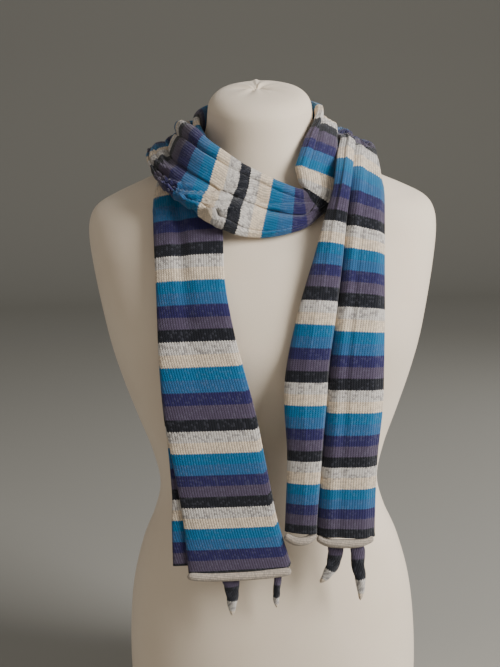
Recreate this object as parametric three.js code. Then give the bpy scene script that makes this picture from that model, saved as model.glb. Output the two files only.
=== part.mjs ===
// A striped alpaca shawl wound once round the neck of a limbless dress form.
//
// The shawl is one long knitted panel with rolled ends. It lies in folds along its length. From
// the hem of the left tail it runs up the chest and over the left shoulder, behind the neck, down
// the right side of the neck, across the front in a pleated band, round the left side and behind
// the neck again, and over the right shoulder to the hem of the right tail. Each stretch of it is
// one closed wall of cloth, swept through a short table of stations.
//
// Millimetres, +Z up, the front of the form faces -Y, and +X is to the right seen from the front.
// The origin is the centre of the form's flat base.
import * as THREE from "three";

// ---------- Driving dimensions ----------
const WALL = 2; // thickness of the knitted cloth
const PLY = 4; // distance between the middles of two folded layers
const LOFT = 7; // height of a bundle's front above its back
const SEAM = 0.5; // gap between neighbouring stretches
const REFOLD_SEAM = 1.9; // the same, where the cloth changes from one way of folding to the next
const TURN = 2; // how far a fold's round edge stands past the layers that it joins
const STAND = 2.9; // least distance from the form to the middle of a layer
const HEM_RADIUS = 4.6; // radius of the rolled hems
const FORM_SIDES = 44; // faces round the dress form
const ROLL_SIDES = 8; // faces round a rolled hem or corner

const CREAM = { color: 0xe6dac8, roughness: 0.85, metalness: 0 };
const TEAL = { color: 0x0b7fa8, roughness: 0.9, metalness: 0 };
const PLUM = { color: 0x57506e, roughness: 0.9, metalness: 0 };
const NAVY = { color: 0x2c2c66, roughness: 0.9, metalness: 0 };
const MARL = { color: 0xc9c2ba, roughness: 0.9, metalness: 0 };

// ---------- The dress form ----------
// One row for each ring: its height on the axis, half width, front and back edge, how steeply it
// rises towards the back, and the power of its rounded outline.
const FORM_COLUMNS = ["z", "half", "front", "back", "slope", "power"];
const FORM_RINGS = [
  [0, 163, -98, 122, 0, 2.3],
  [60, 166, -103, 126, 0, 2.3],
  [115, 164.5, -105, 124, 0, 2.3],
  [165, 158.5, -103, 114, 0, 2.3],
  [212, 146, -99, 101, 0, 2.3],
  [248, 131, -95, 90, 0, 2.3],
  [282, 123.5, -93, 84, 0, 2.3],
  [320, 131, -96, 86, 0, 2.3],
  [362, 146, -105, 92, 0, 2.3],
  [405, 160, -118, 97, 0, 2.4],
  [446, 171, -127, 101, 0, 2.5],
  [490, 180.5, -122, 104, 0, 2.5],
  [530, 188.5, -106, 105, 0, 2.5],
  [562, 193, -90, 103, 0.02, 2.5],
  [583, 191.5, -80, 98, 0.05, 2.4],
  [597, 183, -73, 93, 0.08, 2.3],
  [608, 163, -67, 87, 0.12, 2.2],
  [620, 134, -63, 81, 0.17, 2.1],
  [632, 104, -60, 76, 0.22, 2.1],
  [645, 82, -59, 71, 0.27, 2.1],
  [658, 68, -59, 67, 0.3, 2.1],
  [676, 60, -60, 62, 0.31, 2.1],
  [694, 57.5, -62, 57, 0.3, 2.1],
  [703, 56, -61.5, 53, 0.3, 2.1],
  [710, 51.5, -57, 48, 0.3, 2.1],
  [715, 44, -49, 41, 0.3, 2.1],
  [718, 32, -36, 29, 0.3, 2.1],
  [719.4, 16, -19, 13, 0.3, 2.1],
];

// Reads a table row of numbers as an object with the table's column names.
const named = (columns, row) => Object.fromEntries(columns.map((name, i) => [name, row[i]]));

const mix = (a, b, t) => a + (b - a) * t;

// The form's ring at any height, between the rows of its table.
function formRing(z) {
  let i = 0;
  while (i < FORM_RINGS.length - 2 && FORM_RINGS[i + 1][0] < z) i++;
  const t = (z - FORM_RINGS[i][0]) / (FORM_RINGS[i + 1][0] - FORM_RINGS[i][0]);
  return named(FORM_COLUMNS, FORM_RINGS[i].map((v, k) => mix(v, FORM_RINGS[i + 1][k], Math.min(t, 1))));
}

// A point of a ring's outline.
function ringPoint(ring, angle) {
  const c = Math.cos(angle);
  const s = Math.sin(angle);
  const round = 2 / ring.power;
  const depth = (ring.back - ring.front) / 2;
  const y = depth * Math.sign(s) * Math.abs(s) ** round;
  return new THREE.Vector3(
    ring.half * Math.sign(c) * Math.abs(c) ** round,
    (ring.front + ring.back) / 2 + y,
    ring.z + ring.slope * y,
  );
}

// Above 0 outside the form and below 0 inside it.
function formField(p) {
  let z = p.z;
  for (let i = 0; i < 4; i++) {
    const r = formRing(z);
    z = p.z - r.slope * (p.y - (r.front + r.back) / 2);
  }
  const ring = formRing(z);
  const x = Math.abs(p.x) / ring.half;
  const y = Math.abs(p.y - (ring.front + ring.back) / 2) / ((ring.back - ring.front) / 2);
  return (x ** ring.power + y ** ring.power) ** (1 / ring.power) - 1;
}

// Moves a point straight out from the form until it stands at least this far from its surface.
function liftOff(p, stand) {
  const step = 0.5;
  for (let i = 0; i < 3; i++) {
    const here = formField(p);
    const slopeOf = (axis) => {
      const q = p.clone();
      q[axis] += step;
      return (formField(q) - here) / step;
    };
    const rise = new THREE.Vector3(slopeOf("x"), slopeOf("y"), slopeOf("z"));
    const distance = here / rise.length();
    if (distance < stand) p.addScaledVector(rise.normalize(), stand - distance);
  }
  return p;
}

// ---------- Meshes from rings ----------
// Joins rings of points into one closed surface. ends says how a ring's face is filled.
function loft(rings, ends) {
  const n = rings[0].length;
  const position = rings.flat().flatMap((p) => [p.x, p.y, p.z]);
  const index = [];
  for (let i = 0; i + 1 < rings.length; i++)
    for (let k = 0; k < n; k++) {
      const [a, b] = [i * n + k, i * n + ((k + 1) % n)];
      index.push(a, b, b + n, a, b + n, a + n);
    }
  const last = (rings.length - 1) * n;
  for (const [a, b, c] of ends(n)) index.push(c, b, a, last + a, last + b, last + c);
  const geometry = new THREE.BufferGeometry();
  geometry.setAttribute("position", new THREE.Float32BufferAttribute(position, 3));
  geometry.setIndex(index);
  geometry.computeVertexNormals();
  return geometry;
}

// A fan over a convex ring, and a strip between the two faces of a wall.
const fan = (n) => Array.from({ length: n - 2 }, (_, i) => [0, i + 1, i + 2]);
const strip = (n) =>
  Array.from({ length: n / 2 - 1 }, (_, i) => [
    [i, i + 1, n - 2 - i],
    [i, n - 2 - i, n - 1 - i],
  ]).flat();

const group = new THREE.Group();

function add(name, geometry, look) {
  const mesh = new THREE.Mesh(geometry, new THREE.MeshStandardMaterial(look));
  mesh.name = name;
  group.add(mesh);
}

function dressForm() {
  const rings = FORM_RINGS.map((row) => {
    const ring = named(FORM_COLUMNS, row);
    return Array.from({ length: FORM_SIDES }, (_, k) =>
      ringPoint(ring, (k / FORM_SIDES) * 2 * Math.PI),
    );
  });
  add("dress_form", loft(rings, fan), CREAM);
}

// ---------- Folded cloth ----------
// A folded section is a list of points [s, d, h, slide]: s is the share of the way from the
// stretch's outer edge a to its neck-side edge b, d is added to it in millimetres, h is the height
// above the line from a to b, and slide moves the point along the stretch.
const at = (s, d, h, slide = 0) => [s, d, h, slide];

// A fold's round edge, from height h0 to h1, standing past s in the direction of side.
const foldEdge = (s, side, h0, h1, d = 0, slide = 0) => [
  at(s, d, h0, slide),
  at(s, d + side * TURN, (h0 + h1) / 2, slide),
  at(s, d, h1, slide),
];

// A bundle of folds: a flap behind edge a, the front in rounded pleats between its valleys, and a
// flap behind edge b. Each valley is {s, depth, slide}. slide moves the cloth beyond it along.
function bundle(crown, valleys, { backA, backB }) {
  const points = [at(backA, 0, 0), at(backA / 2, 0, 0), ...foldEdge(0, -1, 0, LOFT)];
  let [from, slide] = [0, 0];
  const face = (to) => {
    for (const share of [0.3, 0.7])
      points.push(at(mix(from, to, share), 0, LOFT + crown * 0.85, slide));
  };
  for (const v of valleys) {
    face(v.s);
    points.push(at(v.s, 0, LOFT - v.depth, mix(slide, v.slide ?? slide, 0.5)));
    [from, slide] = [v.s, v.slide ?? slide];
  }
  face(1);
  points.push(...foldEdge(1, 1, LOFT, 0), at((1 + backB) / 2, 0, 0), at(backB, 0, 0));
  return points;
}

// Smooth values between the rows of a table: t counts rows from 0.
function between(rows, t) {
  const i = Math.min(Math.max(Math.floor(t), 0), rows.length - 2);
  const f = t - i;
  const row = (k) => rows[Math.min(Math.max(k, 0), rows.length - 1)];
  const [p, q, r, s] = [row(i - 1), row(i), row(i + 1), row(i + 2)];
  return q.map((v, k) => {
    const [m0, m1] = [(r[k] - p[k]) / 2, (s[k] - v) / 2];
    const [f2, f3] = [f * f, f * f * f];
    return (2 * f3 - 3 * f2 + 1) * v + (f3 - 2 * f2 + f) * m0 + (3 * f2 - 2 * f3) * r[k] + (f3 - f2) * m1;
  });
}

// The columns that every stretch's table begins with: the outer edge a and the neck-side edge b on
// the body side of the bundle, how far the cloth beneath lifts it off the form, and how far the
// middle of the bundle sinks below the line from a to b. Each row is one station.
const STATION = ["ax", "ay", "az", "bx", "by", "bz", "lift", "sag"];

// The frame of a stretch at t: its edge points, the way across, out and along it.
function frameAt(table, t) {
  const edges = (when) => {
    const r = named(STATION, between(table.rows, when));
    return [new THREE.Vector3(r.ax, r.ay, r.az), new THREE.Vector3(r.bx, r.by, r.bz)];
  };
  const [a, b] = edges(t);
  const middle = (when) => edges(when).reduce((p, q) => p.clone().add(q)).multiplyScalar(0.5);
  const reach = 0.25;
  const along = middle(Math.min(t + reach, table.rows.length - 1))
    .sub(middle(Math.max(t - reach, 0)))
    .normalize();
  const across = b.clone().sub(a);
  const width = across.length();
  across.divideScalar(width);
  const out = across.clone().cross(along).normalize();
  return { a, across, width, out, along, plane: out.clone().cross(across) };
}

// The middle line of the folded cloth at t.
function foldedLine(table, t) {
  const f = frameAt(table, t);
  const row = named(table.columns, between(table.rows, t));
  return table.section(row).map(([s, d, h, slide]) => {
    const p = f.a
      .clone()
      .addScaledVector(f.across, s * f.width + d)
      .addScaledVector(f.out, h - row.sag * 4 * s * (1 - s))
      .addScaledVector(f.along, slide);
    return liftOff(p, STAND + row.lift + h * 0.95);
  });
}

// Both faces of the wall round a middle line, as one closed ring.
function wallRing(line, plane) {
  const offset = line.map((p, i) => {
    const before = line[Math.max(i - 1, 0)];
    const after = line[Math.min(i + 1, line.length - 1)];
    const tangent = after.clone().sub(before).normalize();
    return tangent.cross(plane).normalize().multiplyScalar(WALL / 2);
  });
  const outer = line.map((p, i) => p.clone().add(offset[i]));
  const inner = line.map((p, i) => p.clone().sub(offset[i]));
  return [...outer, ...inner.reverse()];
}

// One stretch of cloth between two rows of its table, short of each seam by half the gap.
function stretch(name, table, first, last, rings, look) {
  const sections = Array.from({ length: rings }, (_, i) => {
    const t = mix(first, last, i / (rings - 1));
    const line = foldedLine(table, t);
    const { along, plane } = frameAt(table, t);
    const gap = t === 0 || t === table.rows.length - 1 ? REFOLD_SEAM : SEAM;
    const inset = i === 0 ? gap / 2 : i === rings - 1 ? -gap / 2 : 0;
    return wallRing(line.map((p) => p.addScaledVector(along, inset)), plane);
  });
  add(name, loft(sections, strip), look);
}

// ---------- The inner winding: left tail, nape and right side of the neck ----------
// peekA and peekB: how far the back layers show past the two edges. trough: depth of the soft
// crease in the front panel. step: how much higher the back layers' hem lies.
const LEFT_TAIL = {
  columns: [...STATION, "peekA", "peekB", "trough", "step"],
  rows: [
    [-87, -126, 213.5, 18, -127, 217, 0, 0, 13, 0, 0, 8],
    [-90, -128, 264, 5, -129, 265, 0, 0, 10, 0, 0, 8],
    [-93, -130, 292, 0, -131, 293, 0, 0, 6, 0, 0, 8],
    [-101, -131, 346, -9, -133, 347, 0, 0, 1, 0, 0, 6],
    [-106, -131, 386, -16, -134, 387, 0, 0, 0, 0, 0, 4],
    [-109, -127, 435, -28, -132, 437, 0, 0, 0, 0, 0.5, 2],
    [-110, -120, 466, -35, -128, 468, 0, 0, 0, 0, 1, 0],
    [-111, -103, 516, -44, -113, 519, 0, 0, 0, 1, 2, 0],
    [-113, -81, 564, -51, -90, 569, 0, 0, 0, 7, 3, 0],
    [-113, -60, 598, -51, -72, 606, 0, 0, 0, 5, 3, 0],
    [-108, -36, 620, -52, -54, 634, 0, 0, 0, 2, 2, 0],
  ],
  section(row) {
    const front = 2 * PLY;
    return [
      at(0.45, 0, 0, row.step),
      at(0.2, 0, 0, row.step),
      ...foldEdge(0, -1, 0, PLY, 2 - row.peekA, row.step),
      at(0.35, 0, PLY, row.step),
      at(0.7, 0, PLY, row.step),
      ...foldEdge(1, 1, PLY, front, row.peekB, row.step / 2),
      at(0.93, 0, front + 0.6),
      at(0.8, 0, front + 1.2),
      at(0.6, 0, front + 1.6),
      at(0.42, 0, front + 1.4 - row.trough),
      at(0.27, 0, front + 1.5),
      at(0.12, 0, front + 1.2),
      at(0.02, 0, front),
    ];
  },
};

// valley: where the groove between the two folds lies, as a share of the way from edge a.
// depth: how deep it is. crown: how far the folds bulge.
const INNER_WRAP = {
  columns: [...STATION, "valley", "depth", "crown"],
  rows: [
    [-108, -36, 620, -52, -54, 634, 0, 0, 0.5, 1, 1.5],
    [-104, -8, 630, -58, -34, 662, 0, 4, 0.5, 1, 1.5],
    [-97, 24, 636, -66, -4, 682, 0, 8, 0.5, 1, 1.5],
    [-80, 56, 642, -62, 30, 695, 0, 8, 0.5, 1, 1.5],
    [-46, 80, 646, -42, 56, 702, 0, 6, 0.5, 1, 1.5],
    [0, 88, 648, 0, 68, 704, 0, 4, 0.5, 1, 1.5],
    [46, 78, 654, 40, 55, 702, 0, 5, 0.6, 1, 1.5],
    [74, 48, 662, 57, 26, 699, 0, 6, 0.68, 2, 2],
    [80, 14, 672, 56, -2, 692, 0, 3, 0.7, 3.5, 2],
    [79, -20, 662, 53, -30, 676, 0, 0, 0.72, 3, 2],
    [77, -44, 640, 45, -50, 654, 0, 0, 0.75, 1, 2],
    [75, -62, 616, 37, -63, 631, 0, 0, 0.8, 0.5, 1.5],
  ],
  section: (row) =>
    bundle(row.crown, [{ s: row.valley, depth: row.depth }], { backA: 0.44, backB: 0.56 }),
};

// ---------- The outer winding: turn, front band, nape and right tail ----------
// hem: the groove between the thin bottom layer and the lower pleat. low: between the lower and the
// upper pleat. high: between the upper and the top pleat. crown: how far the pleats bulge.
const BAND = {
  columns: [...STATION, "hem", "low", "high", "crown"],
  rows: [
    [75, -62, 616, 37, -63, 631, 0, 0, 0.12, 0.4, 0.76, 1],
    [76, -72, 601, 41, -68, 617, 0, 0, 0.12, 0.4, 0.76, 1],
    [67, -75, 591, 46, -70, 610, 0, 0, 0.12, 0.4, 0.76, 1],
    [56, -75, 580, 46, -71, 608, 0, 0, 0.1, 0.35, 0.76, 1.5],
    [44, -75, 569, 42, -72, 608, 0, 0, 0.08, 0.34, 0.76, 2.5],
    [29, -76, 563, 34, -73, 610, 0, 0, 0.08, 0.42, 0.76, 3],
    [11, -77, 559, 22, -73, 615, 0, 0, 0.09, 0.5, 0.76, 3.5],
    [-5, -77, 558, 9, -72, 621, 0, 0, 0.1, 0.52, 0.76, 3.5],
    [-23, -78, 559, -7, -70, 629, 5, 0, 0.11, 0.53, 0.76, 3.5],
    [-38, -82, 563, -20, -72, 636, 13, 0, 0.12, 0.53, 0.76, 3.5],
    [-52, -88, 571, -32, -75, 644, 16, 0, 0.12, 0.53, 0.76, 3.5],
    [-66, -90, 583, -44, -72, 653, 16, 0, 0.11, 0.52, 0.76, 3.5],
    [-84, -84, 596, -56, -64, 662, 16, 0, 0.1, 0.5, 0.76, 3.5],
    [-100, -70, 610, -68, -48, 674, 17, 2, 0.08, 0.47, 0.76, 3.5],
    [-110, -44, 624, -78, -24, 679, 15, 6, 0.06, 0.45, 0.76, 3.5],
    [-115, -10, 634, -84, 4, 682, 13, 8, 0.05, 0.45, 0.76, 3.5],
  ],
  section: (row) =>
    bundle(
      row.crown,
      [
        { s: row.hem, depth: 1 },
        { s: row.low, depth: 1.6 },
        { s: row.high, depth: 0.8 },
      ],
      { backA: 0.44, backB: 0.56 },
    ),
};

const OUTER_WRAP = {
  columns: [...STATION, "valley", "depth", "crown"],
  rows: [
    [-115, -10, 634, -84, 4, 682, 13, 8, 0.5, 3, 3.5],
    [-113, 34, 636, -86, 36, 681, 12, 8, 0.5, 3, 3],
    [-90, 78, 636, -68, 66, 682, 12, 6, 0.5, 3, 3],
    [-46, 104, 632, -38, 88, 680, 12, 4, 0.5, 3, 3],
    [6, 110, 628, 4, 94, 678, 17.3, 4, 0.55, 3, 3],
    [56, 100, 626, 46, 82, 674, 17.3, 4, 0.6, 3.5, 3],
    [94, 72, 628, 76, 56, 667, 16.3, 4, 0.64, 3.5, 3],
    [116, 38, 632, 86, 26, 662, 10.5, 2, 0.68, 3.5, 4],
    [125, 6, 631, 88, -4, 658, 3, 0, 0.7, 3.5, 4],
  ],
  section: (row) =>
    bundle(row.crown, [{ s: row.valley, depth: row.depth }], { backA: 0.44, backB: 0.56 }),
};

// step: how much further down the outer fold hangs than the ridge beside it.
const RIGHT_TAIL = {
  columns: [...STATION, "valley", "depth", "crown", "step"],
  rows: [
    [125, 6, 631, 88, -4, 658, 3, 0, 0.7, 3.5, 4, 0],
    [125, -34, 618, 83, -38, 647, 0, 0, 0.71, 3.5, 4, 0],
    [125, -62, 604, 79, -68, 632, 0, 0, 0.71, 3.5, 4, 0],
    [124, -80, 588, 75, -84, 608, 0, 0, 0.7, 3.5, 4, 0],
    [123, -92, 568, 67, -94, 584, 3, 0, 0.66, 3.5, 4, 0],
    [121, -108, 530, 54, -110, 541, 3, 0, 0.61, 3.5, 4, 3],
    [119, -124, 483, 37, -126, 490, 0, 0, 0.57, 3.5, 5, 5],
    [117, -131, 428, 23, -131, 432, 0, 0, 0.57, 3.5, 5, 7],
    [115, -133, 386, 19, -133, 388, 0, 0, 0.575, 3.5, 5, 8],
    [109, -132, 333, 21, -132, 334, 0, 0, 0.62, 3.5, 5, 7],
    [106, -129, 268, 18, -129, 271, 0, 0, 0.65, 3.5, 5, 4],
    [106, -128, 249, 17, -128, 254, 0, 0, 0.65, 3.5, 5, 3],
  ],
  section: (row) =>
    bundle(row.crown, [{ s: row.valley, depth: row.depth, slide: -row.step }], {
      backA: 0.44,
      backB: 0.56,
    }),
};

// ---------- Rolled hems and curled corners ----------
// A tube with rounded ends. Each row is a point of its middle, its half width and its half depth.
function tube(name, rows, look) {
  const points = rows.map(([x, y, z]) => new THREE.Vector3(x, y, z));
  const rings = rows.map(([, , , wide, deep], i) => {
    const before = points[Math.max(i - 1, 0)];
    const after = points[Math.min(i + 1, points.length - 1)];
    const along = after.clone().sub(before).normalize();
    const reference = new THREE.Vector3(0, 1, 0);
    const side = reference.clone().cross(along).normalize();
    const front = along.clone().cross(side);
    return Array.from({ length: ROLL_SIDES }, (_, k) => {
      const angle = (k / ROLL_SIDES) * 2 * Math.PI;
      return points[i]
        .clone()
        .addScaledVector(side, wide * Math.cos(angle))
        .addScaledVector(front, deep * Math.sin(angle));
    });
  });
  add(name, loft(rings, fan), look);
}

// One row for each point of a hem roll, from left to right.
const HEM_ROLLS = {
  hem_left_front: [
    [-88, -134, 208.8],
    [-60, -136, 208.3],
    [-30, -137, 209.3],
    [0, -137, 211.3],
    [18, -136, 212.6],
  ],
  hem_right_inner: [
    [15, -135, 248.5],
    [24, -138, 246],
    [36, -138, 246],
    [44, -135, 249],
  ],
  hem_right_outer: [
    [50, -135, 245.5],
    [66, -138, 243],
    [88, -138, 243],
    [105, -135, 244.5],
  ],
};

// The corners hang below the hems: middle line, half width and half depth.
const CORNERS = {
  corner_left_a: [
    [-45, -133, 204, 9, 3],
    [-43, -131, 190, 7.5, 3.5],
    [-43.5, -130, 176, 5.5, 3.5],
    [-44, -129, 164, 1.5, 1.5],
  ],
  corner_left_b: [
    [6, -133, 207.3, 4, 3],
    [4.5, -129, 191, 4, 3.5],
    [3.5, -128, 179, 3.5, 3],
    [4, -127, 171, 1.2, 1.2],
  ],
  corner_right_a: [
    [67, -134.5, 238.9, 8, 3],
    [66, -130, 222, 7.5, 3],
    [59, -129, 208, 5.5, 3.5],
    [50, -128, 197, 1.5, 1.5],
  ],
  corner_right_b: [
    [90, -134.5, 238.7, 7.5, 3],
    [91, -130, 215, 7, 3.5],
    [93.5, -129, 196, 5.5, 4],
    [93, -128, 177, 1.5, 1.5],
  ],
};

const clothStretches = [
  ["left_tail", LEFT_TAIL, 0, 10, 15, TEAL],
  ["nape_inner", INNER_WRAP, 0, 7, 14, NAVY],
  ["neck_right", INNER_WRAP, 7, 11, 7, PLUM],
  ["front_turn", BAND, 0, 3, 5, NAVY],
  ["front_band", BAND, 3, 11, 12, TEAL],
  ["band_left", BAND, 11, 15, 6, NAVY],
  ["nape_outer", OUTER_WRAP, 0, 8, 14, PLUM],
  ["right_tail", RIGHT_TAIL, 0, 11, 15, TEAL],
];

dressForm();
for (const row of clothStretches) stretch(...row);
for (const [name, rows] of Object.entries(HEM_ROLLS))
  tube(name, rows.map((point) => [...point, HEM_RADIUS, HEM_RADIUS]), MARL);
for (const [name, rows] of Object.entries(CORNERS)) tube(name, rows, MARL);

export default group;
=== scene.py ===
# A striped alpaca shawl wound once round the neck of a limbless dress form.
# The tables are those of part.mjs, in millimetres; meshes are built in metres.
import math
import bpy
import numpy as np
from mathutils import Matrix, Vector


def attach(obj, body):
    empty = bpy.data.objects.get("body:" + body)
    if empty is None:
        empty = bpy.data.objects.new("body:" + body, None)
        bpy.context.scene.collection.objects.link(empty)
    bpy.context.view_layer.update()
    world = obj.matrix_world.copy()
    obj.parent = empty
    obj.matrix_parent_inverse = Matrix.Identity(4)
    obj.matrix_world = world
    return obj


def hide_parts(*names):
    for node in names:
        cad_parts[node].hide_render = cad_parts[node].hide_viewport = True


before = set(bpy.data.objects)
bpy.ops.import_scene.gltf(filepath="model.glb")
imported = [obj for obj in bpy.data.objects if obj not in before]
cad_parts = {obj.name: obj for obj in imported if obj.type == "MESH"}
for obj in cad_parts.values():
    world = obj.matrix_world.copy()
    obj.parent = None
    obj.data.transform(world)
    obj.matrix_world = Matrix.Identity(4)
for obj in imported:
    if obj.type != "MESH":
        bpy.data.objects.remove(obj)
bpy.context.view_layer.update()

MM = 0.001
WALL = 1.8  # thickness of the knitted cloth
LOFT = 7.0  # height of a bundle's front above its back
PLY = 4.0  # distance between the middles of two folded layers
STAND = 2.9  # least distance from the form to the middle of a layer
WALE = 2.7  # width of one column of stitches
COURSE = 0.165  # height of one row of stitches, in stripes
MIRROR = 77.5  # the stripe at the middle of the shawl, where the order turns round

# ---------- The dress form ----------
# z on the axis, half width, front, back, rise towards the back, power of the outline
FORM_RINGS = np.array([
    (0, 163, -98, 122, 0, 2.3),
    (60, 166, -103, 126, 0, 2.3),
    (115, 164.5, -105, 124, 0, 2.3),
    (165, 158.5, -103, 114, 0, 2.3),
    (212, 146, -99, 101, 0, 2.3),
    (248, 131, -95, 90, 0, 2.3),
    (282, 123.5, -93, 84, 0, 2.3),
    (320, 131, -96, 86, 0, 2.3),
    (362, 146, -105, 92, 0, 2.3),
    (405, 160, -118, 97, 0, 2.4),
    (446, 171, -127, 101, 0, 2.5),
    (490, 180.5, -122, 104, 0, 2.5),
    (530, 188.5, -106, 105, 0, 2.5),
    (562, 193, -90, 103, 0.02, 2.5),
    (583, 191.5, -80, 98, 0.05, 2.4),
    (597, 183, -73, 93, 0.08, 2.3),
    (608, 163, -67, 87, 0.12, 2.2),
    (620, 134, -63, 81, 0.17, 2.1),
    (632, 104, -60, 76, 0.22, 2.1),
    (645, 82, -59, 71, 0.27, 2.1),
    (658, 68, -59, 67, 0.3, 2.1),
    (676, 60, -60, 62, 0.31, 2.1),
    (694, 57.5, -62, 57, 0.3, 2.1),
    (703, 56, -61.5, 53, 0.3, 2.1),
    (710, 51.5, -57, 48, 0.3, 2.1),
    (715, 44, -49, 41, 0.3, 2.1),
    (718, 32, -36, 29, 0.3, 2.1),
    (719.4, 16, -19, 13, 0.3, 2.1),
])

# ---------- The shawl ----------
# The columns that each table begins with: the stripe count, the outer edge a and the neck-side
# edge b, how far cloth beneath lifts the bundle off the form, and how far its middle sinks.
STATION = ("stripe", "ax", "ay", "az", "bx", "by", "bz", "lift", "sag")

# How far the back layers show past edges a and b, the depth of the front's soft crease, and how
# much higher the back layers' hem lies.
TAIL_COLUMNS = (*STATION, "peek_a", "peek_b", "trough", "step")
LEFT_TAIL = np.array([
    (0.9, -87, -126, 213.5, 18, -127, 217, 0, 0, 13, 0, 0, 8),
    (5.1, -90, -128, 264, 5, -129, 265, 0, 0, 10, 0, 0, 8),
    (7.5, -93, -130, 292, 0, -131, 293, 0, 0, 6, 0, 0, 8),
    (12.1, -101, -131, 346, -9, -133, 347, 0, 0, 1, 0, 0, 6),
    (15.4, -106, -131, 386, -16, -134, 387, 0, 0, 0, 0, 0, 4),
    (19.2, -109, -127, 435, -28, -132, 437, 0, 0, 0, 0, 0.5, 2),
    (21.7, -110, -120, 466, -35, -128, 468, 0, 0, 0, 0, 1, 0),
    (25.9, -111, -103, 516, -44, -113, 519, 0, 0, 0, 1, 2, 0),
    (29.9, -113, -81, 564, -51, -90, 569, 0, 0, 0, 7, 3, 0),
    (32.9, -113, -60, 598, -51, -72, 606, 0, 0, 0, 5, 3, 0),
    (35, -108, -36, 620, -52, -54, 634, 0, 0, 0, 2, 2, 0),
])

# Shares of the three grooves from edge a to b, their depths, how far each tucks under the pleat
# beside it, the pleats' crown, and how far the cloth beyond the middle groove is slid back.
WRAP_COLUMNS = (
    *STATION, "hem", "low", "high", "hem_depth", "low_depth", "high_depth", "tuck", "crown", "step",
)
INNER_WRAP = np.array([
    (34.6, -108, -36, 620, -52, -54, 634, 0, 0, 0.2, 0.5, 0.8, 0, 1, 0, 0, 1.5, 0),
    (37.6, -104, -8, 630, -58, -34, 662, 0, 4, 0.2, 0.5, 0.8, 0, 1, 0, 0, 1.5, 0),
    (41.2, -97, 24, 636, -66, -4, 682, 0, 8, 0.2, 0.5, 0.8, 0, 1, 0, 0, 1.5, 0),
    (45.2, -80, 56, 642, -62, 30, 695, 0, 8, 0.2, 0.5, 0.8, 0, 1, 0, 0, 1.5, 0),
    (49.2, -46, 80, 646, -42, 56, 702, 0, 6, 0.2, 0.5, 0.8, 0, 1, 0, 0, 1.5, 0),
    (53.4, 0, 88, 648, 0, 68, 704, 0, 4, 0.2, 0.5, 0.8, 0, 1, 0, 0, 1.5, 0),
    (57, 46, 78, 654, 40, 55, 702, 0, 5, 0.2, 0.6, 0.85, 0, 1, 0, 0, 1.5, 0),
    (59.7, 74, 48, 662, 57, 26, 699, 0, 6, 0.25, 0.66, 0.88, 0, 2, 0, 0, 2, 0),
    (61.3, 80, 14, 672, 56, -2, 692, 0, 3, 0.25, 0.68, 0.88, 0, 3.5, 0, 0, 2, 0),
    (63.4, 79, -20, 662, 53, -30, 676, 0, 0, 0.25, 0.7, 0.88, 0, 3, 0, 0, 2, 0),
    (65.8, 77, -44, 640, 45, -50, 654, 0, 0, 0.25, 0.72, 0.88, 0, 1, 0, 0, 2, 0),
    (68.2, 75, -62, 616, 37, -63, 631, 0, 0, 0.25, 0.75, 0.88, 0, 0.5, 0, 0, 1.5, 0),
])
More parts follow.
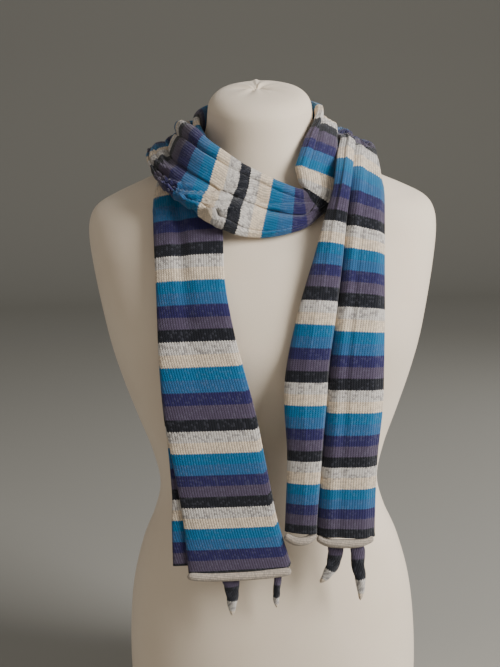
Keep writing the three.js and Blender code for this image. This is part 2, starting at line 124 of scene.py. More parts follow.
OUTER_WRAP = np.array([
    (68.2, 75, -62, 616, 37, -63, 631, 0, 0, 0.12, 0.4, 0.76, 0, 1, 0, 1, 1.5, 0),
    (69.3, 76, -72, 601, 41, -68, 617, 0, 0, 0.12, 0.4, 0.76, 0.5, 1, 0, 1, 1.5, 0),
    (70.4, 67, -75, 591, 46, -70, 610, 0, 0, 0.12, 0.4, 0.76, 1, 1.5, 0.5, 2, 1.5, 0),
    (71.4, 56, -75, 580, 46, -71, 608, 0, 0, 0.1, 0.35, 0.78, 2, 2.5, 1, 3, 2, 0),
    (72.1, 44, -75, 569, 42, -72, 608, 0, 0, 0.08, 0.34, 0.8, 3, 3.5, 1, 4, 2.5, 0),
    (73, 29, -76, 563, 34, -73, 610, 0, 0, 0.08, 0.42, 0.84, 3, 4, 1.5, 4, 3, 0),
    (74.1, 11, -77, 559, 22, -73, 615, 0, 0, 0.09, 0.5, 0.86, 3, 4.5, 2, 4.5, 3.5, 0),
    (75.2, -5, -77, 558, 9, -72, 621, 0, 0, 0.1, 0.52, 0.88, 3, 4.5, 2, 4.5, 3.5, 0),
    (76.5, -23, -78, 559, -7, -70, 629, 5, 0, 0.11, 0.53, 0.88, 3, 4.5, 2.5, 4.5, 3.5, 0),
    (77.6, -38, -82, 563, -20, -72, 636, 13, 0, 0.12, 0.53, 0.88, 3, 4.5, 2.5, 4.5, 3.5, 0),
    (78.8, -52, -88, 571, -32, -75, 644, 16, 0, 0.12, 0.53, 0.86, 3, 4.5, 3, 4.5, 3.5, 0),
    (80, -66, -90, 583, -44, -72, 653, 16, 0, 0.11, 0.52, 0.84, 3, 4.5, 3.5, 4.5, 3.5, 0),
    (81.5, -84, -84, 596, -56, -64, 662, 16, 0, 0.1, 0.5, 0.82, 3, 4.5, 4, 4.5, 3.5, 0),
    (83, -100, -70, 610, -68, -48, 674, 17, 2, 0.08, 0.47, 0.8, 2.5, 4.5, 4, 4, 3.5, 0),
    (84.8, -110, -44, 624, -78, -24, 679, 15, 6, 0.06, 0.45, 0.78, 2, 4.5, 4, 3, 3.5, 0),
    (87.2, -115, -10, 634, -84, 4, 682, 13, 8, 0.05, 0.45, 0.76, 1, 4.5, 4, 2, 3.5, 0),
    (91.3, -113, 34, 636, -86, 36, 681, 12, 8, 0.1, 0.5, 0.8, 1, 4, 2, 1, 3, 0),
    (96.6, -90, 78, 636, -68, 66, 682, 12, 6, 0.15, 0.5, 0.85, 1, 3.5, 1, 0, 3, 0),
    (102, -46, 104, 632, -38, 88, 680, 12, 4, 0.2, 0.5, 0.85, 1, 3.5, 1, 0, 3, 0),
    (107.2, 6, 110, 628, 4, 94, 678, 17.3, 4, 0.2, 0.55, 0.85, 1, 3.5, 1, 0, 3, 0),
    (111.6, 56, 100, 626, 46, 82, 674, 17.3, 4, 0.2, 0.6, 0.85, 1, 3.5, 1, 0, 3, 0),
    (115.4, 94, 72, 628, 76, 56, 667, 16.3, 4, 0.2, 0.64, 0.87, 1, 4, 0.5, 0, 3, 0),
    (118, 116, 38, 632, 86, 26, 662, 10.5, 2, 0.25, 0.68, 0.88, 0.5, 5, 0, 0, 4, 0),
    (120, 125, 6, 631, 88, -4, 658, 3, 0, 0.3, 0.7, 0.88, 0, 6, 0, 0, 4, 0),
    (121.2, 125, -34, 618, 83, -38, 647, 0, 0, 0.3, 0.71, 0.88, 0, 6.5, 0, 0, 4, 0),
    (122.5, 125, -62, 604, 79, -68, 632, 0, 0, 0.3, 0.71, 0.88, 0, 6.5, 0, 0, 4, 0),
    (124.4, 124, -80, 588, 75, -84, 608, 0, 0, 0.3, 0.7, 0.88, 0, 6.5, 0, 0, 4, 0),
    (126.4, 123, -92, 568, 67, -94, 584, 3, 0, 0.3, 0.66, 0.85, 0, 6.5, 0, 0, 4, 0),
    (130.1, 121, -108, 530, 54, -110, 541, 3, 0, 0.3, 0.61, 0.82, 0, 6.5, 0, 0, 4, 3),
    (134.5, 119, -124, 483, 37, -126, 490, 0, 0, 0.3, 0.57, 0.8, 0, 6.5, 0, 0, 5, 5),
    (139.2, 117, -131, 428, 23, -131, 432, 0, 0, 0.3, 0.57, 0.8, 0, 6.5, 0, 0, 5, 7),
    (142.8, 115, -133, 386, 19, -133, 388, 0, 0, 0.3, 0.575, 0.8, 0, 6, 0, 0, 5, 8),
    (147.4, 109, -132, 333, 21, -132, 334, 0, 0, 0.3, 0.62, 0.8, 0, 6, 0, 0, 5, 7),
    (153.3, 106, -129, 268, 18, -129, 271, 0, 0, 0.3, 0.65, 0.8, 0, 5, 0, 0, 5, 4),
    (154.9, 106, -128, 249, 17, -128, 254, 0, 0, 0.3, 0.65, 0.8, 0, 5, 0, 0, 5, 3),
])


def spline(rows, t):
    """Smooth values between the rows of a table; t counts rows from 0."""
    t = np.atleast_1d(t)
    i = np.clip(np.floor(t).astype(int), 0, len(rows) - 2)
    f = (t - i)[:, None]
    last = len(rows) - 1
    p, q = rows[np.clip(i - 1, 0, last)], rows[i]
    r, s = rows[i + 1], rows[np.clip(i + 2, 0, last)]
    m0, m1 = (r - p) / 2, (s - q) / 2
    f2, f3 = f * f, f * f * f
    ends = (2 * f3 - 3 * f2 + 1) * q + (3 * f2 - 2 * f3) * r
    return ends + (f3 - 2 * f2 + f) * m0 + (f3 - f2) * m1


def form_ring(z):
    return [np.interp(z, FORM_RINGS[:, 0], FORM_RINGS[:, k]) for k in range(1, 6)]


def form_field(p):
    """Above 0 outside the form, and below 0 inside it."""
    z = p[:, 2]
    for _ in range(4):
        half, front, back, slope, power = form_ring(z)
        z = p[:, 2] - slope * (p[:, 1] - (front + back) / 2)
    half, front, back, slope, power = form_ring(z)
    x = np.abs(p[:, 0]) / half
    y = np.abs(p[:, 1] - (front + back) / 2) / ((back - front) / 2)
    return (x**power + y**power) ** (1 / power) - 1


def lift_off(p, stand):
    """Moves points straight out from the form until they stand at least this far from it."""
    p = p.copy()
    probe = 0.5
    for _ in range(4):
        here = form_field(p)
        rise = np.stack([(form_field(p + probe * e) - here) / probe for e in np.eye(3)], 1)
        size = np.linalg.norm(rise, axis=1)
        short = np.maximum(stand - here / size, 0)
        p += rise / size[:, None] * short[:, None]
    return p


# ---------- Sections: control points (s, d, h, slide) from behind edge a to behind edge b ----------
def tail_section(row):
    c = dict(zip(TAIL_COLUMNS, row))
    peek_a, peek_b, trough, step = c["peek_a"], c["peek_b"], c["trough"], c["step"]
    front = 2 * PLY
    return np.array([
        (0.45, 0, 0, step), (0.2, 0, 0, step), (0, 2 - peek_a, 0.3, step),
        (0, -1.2 - peek_a, PLY / 2, step), (0, 2 - peek_a, PLY - 0.3, step),
        (0.35, 0, PLY, step), (0.7, 0, PLY, step), (1, peek_b - 2, PLY + 0.2, step / 2),
        (1, peek_b + 1.6, 1.5 * PLY, step / 2), (1, peek_b - 2, front - 0.2, 0),
        (0.93, 0, front + 0.6, 0), (0.8, 0, front + 1.2, 0), (0.6, 0, front + 1.6, 0),
        (0.42, 0, front + 1.4 - trough, 0), (0.27, 0, front + 1.5, 0), (0.12, 0, front + 1.2, 0),
        (0.02, 0, front, 0), (0.0, -0.6, front - 1.6, 0), (0.03, 0, front - 2.4, 0),
    ])


def wrap_section(row):
    c = dict(zip(WRAP_COLUMNS, row))
    top = LOFT + c["crown"]
    points = [(0.44, 0, 0, 0), (0.2, 0, 0, 0), (0.02, 1, 0.4, 0), (0, -2.2, LOFT / 2, 0)]
    points.append((0.01, 0.5, LOFT, 0))
    start, slide = 0.0, 0.0
    for name, side in (("hem", 1), ("low", 1), ("high", -1)):
        s, depth = c[name], c[name + "_depth"]
        cut = min(1, max(0, depth / 2))  # 0 where the pleats on both sides run together
        tuck = c["tuck"] * side * cut
        crown = c["crown"] * (1 - cut * (1 - min(1, (s - start) * 3)))
        for share, rise in ((0.3, 0.8), (0.62, 0.95)):
            points.append((start + (s - start) * share, 0, LOFT + crown * rise, slide))
        after = -c["step"] if name == "low" else slide
        low_side = LOFT + crown * (0.95 - 0.6 * cut) - (depth * 0.4 if side > 0 else 0)
        points.append((s, -1.6 - (0 if side > 0 else tuck * 0.3), low_side, slide))
        valley = LOFT + crown * 0.95 * (1 - cut) + 0.5 * cut - depth
        points.append((s, tuck * 0.6, valley, (slide + after) / 2))
        slide = after
        high_side = LOFT + crown * (0.95 - 0.5 * cut) - (depth * 0.4 if side < 0 else 0)
        points.append((s, 1.8 - (tuck * 0.5 if side > 0 else 0), high_side, slide))
        start = s
    crown = c["crown"] * min(1, (1 - start) * 3)
    points.append((start + (1 - start) * 0.5, 0, LOFT + crown * 0.9, slide))
    points += [(0.99, -0.5, LOFT, slide), (1, 2.2, LOFT / 2, slide), (0.98, -1, 0.4, slide)]
    points += [(0.8, 0, 0, slide), (0.56, 0, 0, slide)]
    return np.array(points)


ACROSS_STEPS = 5  # points between two control points of a section
REACH = 0.25  # how far ahead and behind a station the way along the cloth is measured, in rows


def swept(table, section, rings):
    """Rings of cloth points, with the stripe count and the wale of each."""
    def edges(when):
        r = spline(table, when)[0]
        return r[1:4], r[4:7]

    last = len(table) - 1
    grid, stripes, wales = [], [], []
    for t in np.linspace(0, last, rings):
        row = spline(table, t)[0]
        station = dict(zip(STATION, row))
        a, b = edges(t)
        ahead, behind = edges(min(t + REACH, last)), edges(max(t - REACH, 0))
        along = (ahead[0] + ahead[1] - behind[0] - behind[1]) / 2
        along /= np.linalg.norm(along)
        across = b - a
        width = np.linalg.norm(across)
        across /= width
        out = np.cross(across, along)
        out /= np.linalg.norm(out)
        control = section(row)
        spans = len(control) - 1
        s = spline(control, np.linspace(0, spans, spans * ACROSS_STEPS + 1))
        share = np.clip(s[:, 0], 0, 1)
        height = s[:, 2] - station["sag"] * 4 * share * (1 - share)
        p = a + np.outer(s[:, 0] * width + s[:, 1], across) + np.outer(height, out)
        p += np.outer(s[:, 3], along)
        p = lift_off(p, STAND + station["lift"] + np.maximum(s[:, 2], 0) * 0.95)
        length = np.concatenate([[0], np.cumsum(np.linalg.norm(np.diff(p, axis=0), axis=1))])
        grid.append(p)
        stripes.append(np.full(len(p), station["stripe"]))
        wales.append((length - length[len(p) // 2]) / WALE)
    return np.array(grid), np.array(stripes), np.array(wales)


# ---------- Meshes ----------
def mesh_object(name, points, faces, material):
    mesh = bpy.data.meshes.new(name)
    mesh.from_pydata((np.asarray(points) * MM).tolist(), [], faces)
    mesh.validate()
    obj = bpy.data.objects.new(name, mesh)
    bpy.context.collection.objects.link(obj)
    obj.data.materials.append(material)
    for polygon in mesh.polygons:
        polygon.use_smooth = True
    return obj


def paint_uv(obj, stripes, wales):
    """Stores the stripe count and the wale of each point as the mesh's UV map."""
    layer = obj.data.uv_layers.new(name="cloth")
    index = np.empty(len(obj.data.loops), int)
    obj.data.loops.foreach_get("vertex_index", index)
    uv = np.stack([np.ravel(stripes)[index], np.ravel(wales)[index]], 1)
    layer.data.foreach_set("uv", uv.ravel())


def cloth_object(name, table, section, rings, material):
    grid, stripes, wales = swept(table, section, rings)
    n, m = grid.shape[:2]
    faces = [
        (i * m + k, i * m + k + 1, (i + 1) * m + k + 1, (i + 1) * m + k)
        for i in range(n - 1) for k in range(m - 1)
    ]
    obj = mesh_object(name, grid.reshape(-1, 3), faces, material)
    paint_uv(obj, stripes, wales)
    wall = obj.modifiers.new("wall", "SOLIDIFY")
    wall.thickness = WALL * MM
    wall.offset = 0
    return obj


def ring_faces(rings, sides):
    """The faces between closed rings of points."""
    return [
        (i * sides + k, i * sides + (k + 1) % sides, (i + 1) * sides + (k + 1) % sides, (i + 1) * sides + k)
        for i in range(rings - 1) for k in range(sides)
    ]


def tube_object(name, rows, stripes, material, sides=20, steps=12, ripple=0.0):
    """A tube with rounded ends: rows are x, y, z, half width, half depth and twist in turns."""
    spans = len(rows) - 1
    rows = spline(np.array(rows, float), np.linspace(0, spans, spans * steps + 1))
    points, wales = [], []
    n = len(rows)
    count = np.linspace(stripes[0], stripes[1], n)
    for i, (x, y, z, wide, deep, twist) in enumerate(rows):
        along = rows[min(i + 1, n - 1), :3] - rows[max(i - 1, 0), :3]
        along /= np.linalg.norm(along)
        side = np.cross((0, 1, 0), along)
        side /= np.linalg.norm(side)
        front = np.cross(along, side)
        from_end = min(1, min(i, n - 1 - i) / (steps * 0.4))
        end = math.sqrt(max(1 - (1 - from_end) ** 2, 0.02))
        for k in range(sides):
            angle = 2 * math.pi * (k / sides + twist)
            flute = 1 + ripple * math.cos(3 * angle + 0.5 * i)
            reach = np.array([math.cos(angle) * wide, math.sin(angle) * deep]) * end * flute
            points.append(np.array([x, y, z]) + side * reach[0] + front * reach[1])
            wales.append(k * 2 * math.pi * max(wide, deep) / sides / WALE)
    faces = ring_faces(n, sides)
    faces += [tuple(reversed(range(sides))), tuple((n - 1) * sides + k for k in range(sides))]
    obj = mesh_object(name, points, faces, material)
    paint_uv(obj, np.repeat(count, sides), wales)
    return obj


# ---------- Materials ----------
class Nodes:
    """Short calls for building one material's node tree."""

    def __init__(self, name):
        self.material = bpy.data.materials.new(name)
        self.material.use_nodes = True
        self.tree = self.material.node_tree
        self.shader = self.tree.nodes["Principled BSDF"]

    def link(self, value, socket):
        if isinstance(value, (int, float)):
            socket.default_value = value
        else:
            self.tree.links.new(value, socket)

    def math(self, operation, *values):
        node = self.tree.nodes.new("ShaderNodeMath")
        node.operation = operation
        for value, socket in zip(values, node.inputs):
            self.link(value, socket)
        return node.outputs[0]

    def node(self, kind, **values):
        node = self.tree.nodes.new("ShaderNode" + kind)
        for name, value in values.items():
            if hasattr(node, name):
                setattr(node, name, value)
            else:
                self.link(value, node.inputs[name.replace("_", " ")])
        return node

    def mix(self, factor, a, b, blend="MIX"):
        node = self.tree.nodes.new("ShaderNodeMix")
        node.data_type = "RGBA"
        node.blend_type = blend
        self.link(factor, node.inputs[0])
        for value, socket in ((a, node.inputs[6]), (b, node.inputs[7])):
            if isinstance(value, tuple):
                socket.default_value = (*value, 1)
            else:
                self.tree.links.new(value, socket)
        return node.outputs[2]

    def bump(self, height, distance, strength=1.0, under=None):
        node = self.tree.nodes.new("ShaderNodeBump")
        self.link(height, node.inputs["Height"])
        node.inputs["Distance"].default_value = distance
        node.inputs["Strength"].default_value = strength
        if under is not None:
            self.tree.links.new(under, node.inputs["Normal"])
        return node.outputs["Normal"]


def linear(r, g, b):
    """An 8-bit screen colour as linear light."""
    return tuple((c / 255 / 12.92) if c <= 10 else ((c / 255 + 0.055) / 1.055) ** 2.4 for c in (r, g, b))


BLACK = linear(17, 20, 30)
PLUM = linear(78, 68, 90)
NAVY = linear(36, 32, 84)
BLUE = linear(40, 94, 142)
TEAL = linear(4, 102, 148)
CREAM = linear(226, 208, 184)
GREY = linear(205, 200, 194)
STRIPES = (BLACK, PLUM, NAVY, BLUE, TEAL, CREAM, GREY)  # upwards from the left hem
REPEAT = len(STRIPES)
WHOLE_REPEATS = 10 * REPEAT  # added to a stripe's count to keep it above 0
MARL_FLECK = linear(150, 138, 130)  # in the cream and grey yarns
COOL_FLECK = linear(96, 98, 106)  # in the grey yarn
PALE_FLECK = linear(168, 170, 190)  # in the dark yarns
REVERSE_LIGHT = linear(206, 192, 176)
REVERSE_DARK = linear(150, 142, 134)


def stripe_color(n, row):
    """The colour of a row's stripe, in an order that turns round at the middle of the shawl."""
    count = n.math("MULTIPLY", row, COURSE)
    folded = n.math("SUBTRACT", MIRROR, n.math("ABSOLUTE", n.math("SUBTRACT", count, MIRROR)))
    turn = n.math("FRACT", n.math("DIVIDE", n.math("ADD", folded, WHOLE_REPEATS), REPEAT))
    ramp = n.node("ValToRGB")
    ramp.color_ramp.interpolation = "CONSTANT"
    stops = ramp.color_ramp.elements
    while len(stops) < REPEAT:
        stops.new(0.5)
    for i, color in enumerate(STRIPES):
        stops[i].position = i / REPEAT
        stops[i].color = (*color, 1)
    n.link(turn, ramp.inputs[0])
    return ramp.outputs[0], turn


def marled(n, base, turn, fleck):
    """The grey and cream yarns are marled, and the dark ones have a few pale flecks."""
    pale = n.math("GREATER_THAN", turn, 5 / REPEAT)
    grey = n.math("GREATER_THAN", turn, 6 / REPEAT)
    dark_fleck = n.math("MULTIPLY", n.math("GREATER_THAN", fleck, 0.62), pale)
    marl = n.mix(n.math("MULTIPLY", dark_fleck, 0.3), base, MARL_FLECK)
    dark_yarn = n.math("SUBTRACT", 1.0, pale)
    light_fleck = n.math("MULTIPLY", n.math("LESS_THAN", fleck, 0.2), dark_yarn)
    marl = n.mix(n.math("MULTIPLY", light_fleck, 0.05), marl, PALE_FLECK)
    cool = n.math("MULTIPLY", grey, n.math("GREATER_THAN", fleck, 0.8))
    return n.mix(n.math("MULTIPLY", cool, 0.4), marl, COOL_FLECK)


def stitch_shadow(n, edge, course):
    """How far a point lies between the legs of the stitches, from 0 to 1: it sets the painted shade in
    these gaps and the height of the stitches' bump.
    """
    leg = n.math("ABSOLUTE", n.math("SUBTRACT", n.math("FRACT", course), 0.5))
    wales = n.math("MULTIPLY", n.math("POWER", n.math("MULTIPLY", edge, 2), 3), 0.5)
    courses = n.math("MULTIPLY", n.math("POWER", n.math("MULTIPLY", leg, 2), 3), 0.35)
    return n.math("MINIMUM", n.math("ADD", wales, courses), 1)


def face_color(n, row, fleck, dark, coords):
    """The striped face of the knit, with shade painted in between its stitches and a tone that is a little
    uneven.
    """
    base, turn = stripe_color(n, row)
    marl = marled(n, base, turn, fleck)
    # Painted shade: the yarn's colour is darkened to 0.42 of itself where the point lies between the
    # stitches' legs.
    shaded = n.mix(dark, marl, n.mix(1.0, marl, (0.42, 0.42, 0.44), "MULTIPLY"))
    cloud = n.node("TexNoise", Scale=18.0, Detail=3.0)
    n.tree.links.new(coords, cloud.inputs["Vector"])
    tone = n.node("HueSaturation")
    n.link(n.math("ADD", n.math("MULTIPLY", cloud.outputs[0], 0.3), 0.85), tone.inputs["Value"])
    n.tree.links.new(shaded, tone.inputs["Color"])
    return tone.outputs[0]


def reverse_color(n, fleck, dark):
    """The reverse of the knit, in mixed grey and cream, with shade painted in between its stitches."""
    wash = n.mix(n.math("MULTIPLY", fleck, 0.8), REVERSE_LIGHT, REVERSE_DARK)
    # Painted shade: the wash is darkened towards 0.55 of itself between the stitches' legs.
    return n.mix(1.0, wash, n.mix(dark, (1, 1, 1), (0.55, 0.53, 0.52)), "MULTIPLY")


def knit_material(name, purl=False):
    n = Nodes(name)
    uv = n.node("UVMap", uv_map="cloth")
    split = n.node("SeparateXYZ")
    n.tree.links.new(uv.outputs[0], split.inputs[0])
    stripe, wale = split.outputs[0], split.outputs[1]
    # Each stitch is a V one wale wide, and its two legs drop towards the middle of the wale.
    edge = n.math("ABSOLUTE", n.math("SUBTRACT", n.math("FRACT", wale), 0.5))
    course = n.math("ADD", n.math("DIVIDE", stripe, COURSE), n.math("MULTIPLY", edge, 1.2))
    row = n.math("FLOOR", course)
    stitch = n.node("CombineXYZ")
    n.link(n.math("FLOOR", wale), stitch.inputs[0])
    n.link(row, stitch.inputs[1])
    noise = n.node("TexWhiteNoise", noise_dimensions="2D")
    n.tree.links.new(stitch.outputs[0], noise.inputs["Vector"])
    fleck = noise.outputs[0]
    # dark paints shade into the colour between the stitches, and it also sets the height of their bump.
    dark = stitch_shadow(n, edge, course)
    coords = n.node("TexCoord").outputs["Object"]
    color = reverse_color(n, fleck, dark) if purl else face_color(n, row, fleck, dark, coords)
    n.tree.links.new(color, n.shader.inputs["Base Color"])
    fuzz = n.node("TexNoise", Scale=1500.0, Detail=2.0)
    n.tree.links.new(coords, fuzz.inputs["Vector"])
    soft = n.bump(fuzz.outputs[0], 0.0004, 0.5)
    stitches = n.bump(n.math("SUBTRACT", 1.0, dark), 0.0009, 0.9, soft)
    n.tree.links.new(stitches, n.shader.inputs["Normal"])
    n.shader.inputs["Roughness"].default_value = 0.88
    n.shader.inputs["Specular IOR Level"].default_value = 0.2
    n.shader.inputs["Sheen Weight"].default_value = 0.25
    n.shader.inputs["Sheen Roughness"].default_value = 0.5
    return n.material


def jersey_material():
    n = Nodes("form_jersey")
    coords = n.node("TexCoord")
    cloud = n.node("TexNoise", Scale=9.0, Detail=4.0)
    n.tree.links.new(coords.outputs["Object"], cloud.inputs["Vector"])
    color = n.mix(cloud.outputs[0], linear(222, 204, 182), linear(240, 228, 210))
    weave = n.node("TexNoise", Scale=1300.0, Detail=2.0)
    n.tree.links.new(coords.outputs["Object"], weave.inputs["Vector"])
    speck = n.mix(n.math("MULTIPLY", weave.outputs[0], 0.25), color, linear(205, 186, 164))
    n.tree.links.new(speck, n.shader.inputs["Base Color"])
    rib = n.node("TexWave", Scale=420.0, Distortion=1.5, Detail=1.0)
    n.tree.links.new(coords.outputs["Object"], rib.inputs["Vector"])
    soft = n.bump(weave.outputs[0], 0.0003, 0.5)
    n.tree.links.new(n.bump(rib.outputs[1], 0.0002, 0.35, soft), n.shader.inputs["Normal"])
    n.shader.inputs["Roughness"].default_value = 0.9
    n.shader.inputs["Specular IOR Level"].default_value = 0.15
    n.shader.inputs["Sheen Weight"].default_value = 0.2
    n.shader.inputs["Sheen Roughness"].default_value = 0.6
    return n.material


# ---------- The dress form's mesh ----------
FORM_SIDES = 144
GATHER = (-3.0, 0.0)  # where the jersey is gathered to a point on the neck's cap
CAP_START = 23  # the first row of the table on the cap
BODY_STEP = 0.14  # rows of the table between two rings of the mesh, below the cap
CAP_STEP = 0.1  # the same, on the cap
CAP_SLOPE = 0.3  # how steeply the cap rises towards the back
CAP_FOOT = 700  # height on the axis where the puckers begin
CAP_RISE = 12  # height over which they grow to their full depth
PEAK_Y = 44  # where the back seam lifts the cap's rim


def form_object(material):
    last = len(FORM_RINGS) - 1
    body = np.arange(0, CAP_START - 1, BODY_STEP)
    cap = np.arange(CAP_START - 1, last + CAP_STEP / 10, CAP_STEP)
    steps = np.concatenate([body, cap])
    rings = []
    for t in steps:
        z, half, front, back, slope, power = spline(FORM_RINGS, t)[0]
        angle = np.linspace(0, 2 * math.pi, FORM_SIDES, endpoint=False)
        c, s = np.cos(angle), np.sin(angle)
        y = (back - front) / 2 * np.sign(s) * np.abs(s) ** (2 / power)
        x = half * np.sign(c) * np.abs(c) ** (2 / power)
        rings.append(np.stack([x, (front + back) / 2 + y, z + slope * y], 1))
    # The cap closes towards its middle over smaller and smaller rings.
    top = rings[-1]
    middle = np.array([*GATHER, top[:, 2].mean() + 0.6])
    for share in np.linspace(0.85, 0.08, 10):
        rings.append(middle + (top - middle) * share)
    points = gather(np.concatenate(rings + [middle[None]]))
    n = len(rings)
    faces = ring_faces(n, FORM_SIDES)
    start, tip = (n - 1) * FORM_SIDES, n * FORM_SIDES
    faces += [(start + k, start + (k + 1) % FORM_SIDES, tip) for k in range(FORM_SIDES)]
    faces.append(tuple(reversed(range(FORM_SIDES))))
    return mesh_object("dress_form_jersey", points, faces, material)


def gather(points):
    """Puckers the jersey on the cap round its gather, with a small peak where its seam ends."""
    p = points.copy()
    x, y = p[:, 0] - GATHER[0], p[:, 1] - GATHER[1]
    r = np.hypot(x, y)
    angle = np.arctan2(y, x)
    cap = np.clip((p[:, 2] - CAP_SLOPE * p[:, 1] - CAP_FOOT) / CAP_RISE, 0, 1)
    pucker = np.exp(-((r / 26) ** 2)) * (1 - np.exp(-((r / 4) ** 2)))
    waves = 1.1 * np.cos(5 * angle + 0.4) + 0.8 * np.cos(9 * angle + 2)
    trough = -2.2 * np.exp(-((y / 5) ** 2)) * np.exp(-((r / 26) ** 2))
    dimple = -3.4 * np.exp(-((r / 5) ** 2))
    seam = 1.2 * np.exp(-((x / 1.6) ** 2)) * (y > 0)
    peak = 1.4 * np.exp(-((x / 5) ** 2)) * np.exp(-(((p[:, 1] - PEAK_Y) / 8) ** 2))
    p[:, 2] += cap * (pucker * waves + trough + dimple + seam + peak)
    return p


# ---------- Rolled hems and curled corners ----------
# x, y, z, half width, half depth and twist of each point of the middle line
HEM_ROLLS = {
    "hem_left_front": [
        (-90, -134.5, 210.5, 4.6, 4.6, 0),
        (-60, -135, 209.3, 4.8, 4.8, 0.1),
        (-30, -136, 209.8, 4.6, 4.6, 0.2),
        (0, -136, 212, 4.9, 4.8, 0.3),
        (20, -135.5, 214, 4.4, 4.4, 0.4),
    ],
    "hem_right_inner": [
        (14, -134, 252.5, 4, 4, 0),
        (24, -137.5, 247.5, 4.6, 4.6, 0.1),
        (36, -137.5, 247.5, 4.6, 4.6, 0.2),
        (47, -133, 253, 3.6, 3.6, 0.3),
    ],
    "hem_right_outer": [
        (48, -134, 250, 4, 4, 0),
        (58, -137, 245, 4.6, 4.6, 0.05),
        (74, -138.5, 243.5, 4.9, 4.8, 0.1),
        (92, -138, 243.8, 4.7, 4.7, 0.2),
        (107, -133.5, 247.5, 4, 4, 0.3),
    ],
}
CORNERS = {
    "corner_left_a": [
        (-45, -132, 207, 9.5, 2.6, 0),
        (-43, -131, 193, 7.5, 3.2, 0.04),
        (-43.5, -130, 178, 5.2, 3.2, 0.12),
        (-44, -129, 164, 1.6, 1.6, 0.3),
    ],
    "corner_left_b": [
        (6, -132, 210, 4.2, 2.6, 0),
        (4.5, -130, 193, 3.8, 3, 0.08),
        (3.5, -128, 181, 3.4, 3, 0.2),
        (4, -127, 171, 1.4, 1.4, 0.35),
    ],
    "corner_right_a": [
        (67, -133, 242, 8.5, 2.6, 0),
        (66, -131, 224, 7.5, 2.8, 0.04),
        (59.5, -129.5, 209, 5.5, 3.2, 0.1),
        (50.5, -128, 197.5, 1.8, 1.6, 0.25),
    ],
    "corner_right_b": [
        (90, -133, 242, 8, 2.6, 0),
        (91, -131, 217, 7, 3.2, 0.06),
        (93.5, -129.5, 197, 5.2, 3.8, 0.16),
        (93, -128, 177, 1.8, 1.6, 0.35),
    ],
}


ROLL_STRIPES = (0, 30)  # the stripe counts at the two ends of a roll
CORNER_STRIPES = (1.9, -1.4)  # and at the top and the tip of a corner


def shawl(knit, purl):
    rolls = [tube_object(name + "_roll", rows, ROLL_STRIPES, purl) for name, rows in HEM_ROLLS.items()]
    corners = [
        tube_object(name + "_curl", rows, CORNER_STRIPES, knit, ripple=0.07)
        for name, rows in CORNERS.items()
    ]
    for obj, name in zip(rolls + corners, [*HEM_ROLLS, *CORNERS]):
        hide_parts(name)
        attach(obj, "root")
    pieces = (
        ("shawl_left_tail", LEFT_TAIL, tail_section, 150, (0.22, 0.435), ("left_tail",)),
        ("shawl_inner_wrap", INNER_WRAP, wrap_section, 120, (0.115, 0.41), ("nape_inner", "neck_right")),
        ("shawl_outer_wrap", OUTER_WRAP, wrap_section, 330, (0.155, 1.09),
         ("front_turn", "front_band", "band_left", "nape_outer", "right_tail")),
    )
    small = {"shawl_left_tail": [], "shawl_inner_wrap": [], "shawl_outer_wrap": []}
    for obj in rolls + corners:
        small["shawl_left_tail" if "left" in obj.name else "shawl_outer_wrap"].append(obj)
    for name, table, section, rings, flat, nodes in pieces:
        obj = cloth_object(name, table, section, rings, knit)
        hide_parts(*nodes)
        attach(obj, "root")


# ---------- Camera, lights and floor ----------
DISTANCE = 1.45
IMAGE_HEIGHT = 667
STEP_AT_TARGET = 1.13 * MM  # what one step of the image covers at the target
SENSOR = 36
PITCH = math.radians(9)
ROLL = math.radians(1.5)
TARGET = Vector((-0.017, 0, 0.447))
LIT = Vector((0, 0, 0.45))  # where the lights point
FLOOR_BACK = 3.6  # where the floor starts to turn up, behind a camera on any side
COVE = 1.2  # radius of that turn
FLOOR_FRONT = -3.0
FLOOR_HALF = 5  # half width of the floor
WALL_TOP = 5.0  # height of the backdrop


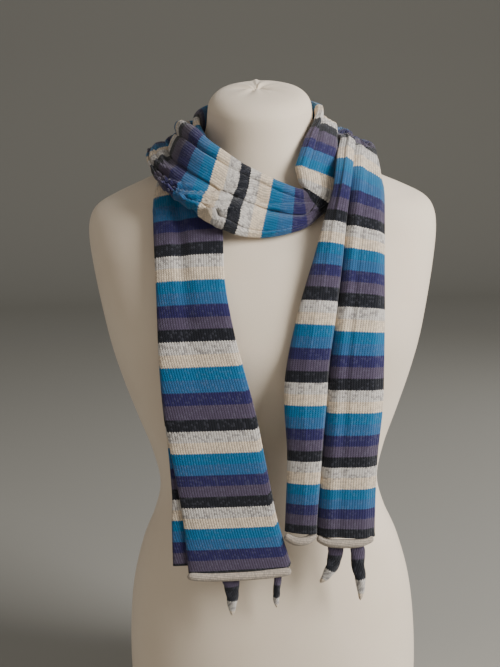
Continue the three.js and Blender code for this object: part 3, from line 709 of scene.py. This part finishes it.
def camera():
    forward = Vector((0, math.cos(PITCH), -math.sin(PITCH)))
    level = Vector((1, 0, 0))
    rise = Vector((0, math.sin(PITCH), math.cos(PITCH)))
    right = level * math.cos(ROLL) - rise * math.sin(ROLL)
    up = rise * math.cos(ROLL) + level * math.sin(ROLL)
    data = bpy.data.cameras.new("camera")
    data.sensor_fit = "AUTO"
    data.sensor_width = SENSOR
    data.lens = SENSOR * DISTANCE / (IMAGE_HEIGHT * STEP_AT_TARGET)
    obj = bpy.data.objects.new("camera", data)
    matrix = Matrix((right, up, -forward)).transposed().to_4x4()
    matrix.translation = TARGET - forward * DISTANCE
    obj.matrix_world = matrix
    bpy.context.collection.objects.link(obj)
    bpy.context.scene.camera = obj


def area_light(name, place, size, power, color):
    data = bpy.data.lights.new(name, "AREA")
    data.shape = "RECTANGLE"
    data.size, data.size_y = size
    data.energy = power
    data.color = color
    obj = bpy.data.objects.new(name, data)
    obj.location = place
    obj.rotation_euler = (LIT - Vector(place)).to_track_quat("-Z", "Y").to_euler()
    bpy.context.collection.objects.link(obj)


def room():
    # The floor turns up into the backdrop in one wide curve.
    profile = [(FLOOR_FRONT, 0.0), (FLOOR_BACK, 0.0)]
    for angle in np.radians(np.arange(6, 90, 6)):
        profile.append((FLOOR_BACK + COVE * math.sin(angle), COVE * (1 - math.cos(angle))))
    profile.append((FLOOR_BACK + COVE, WALL_TOP))
    points = [(x, y, z) for y, z in profile for x in (-FLOOR_HALF, FLOOR_HALF)]
    faces = [(2 * i, 2 * i + 1, 2 * i + 3, 2 * i + 2) for i in range(len(profile) - 1)]
    mesh = bpy.data.meshes.new("floor")
    mesh.from_pydata(points, [], faces)
    for polygon in mesh.polygons:
        polygon.use_smooth = True
    floor = bpy.data.objects.new("floor", mesh)
    bpy.context.collection.objects.link(floor)
    n = Nodes("floor")
    n.shader.inputs["Base Color"].default_value = (*linear(152, 150, 144), 1)
    n.shader.inputs["Roughness"].default_value = 0.9
    mesh.materials.append(n.material)
    world = bpy.data.worlds.new("world")
    world.use_nodes = True
    world.node_tree.nodes["Background"].inputs[0].default_value = (*linear(176, 174, 168), 1)
    world.node_tree.nodes["Background"].inputs[1].default_value = 0.6
    bpy.context.scene.world = world
    area_light("key", (1.9, -1.2, 1.5), (1.1, 1.4), 108, (1, 0.98, 0.95))
    area_light("fill", (-1.7, -1.5, 0.9), (1.6, 1.6), 5, (1, 0.84, 0.72))
    area_light("back", (1.2, 1.6, 1.4), (1, 1), 7, (1, 1, 1))


camera()
room()
jersey = form_object(jersey_material())
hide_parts("dress_form")
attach(jersey, "root")
shawl(knit_material("shawl_knit"), knit_material("shawl_reverse", purl=True))
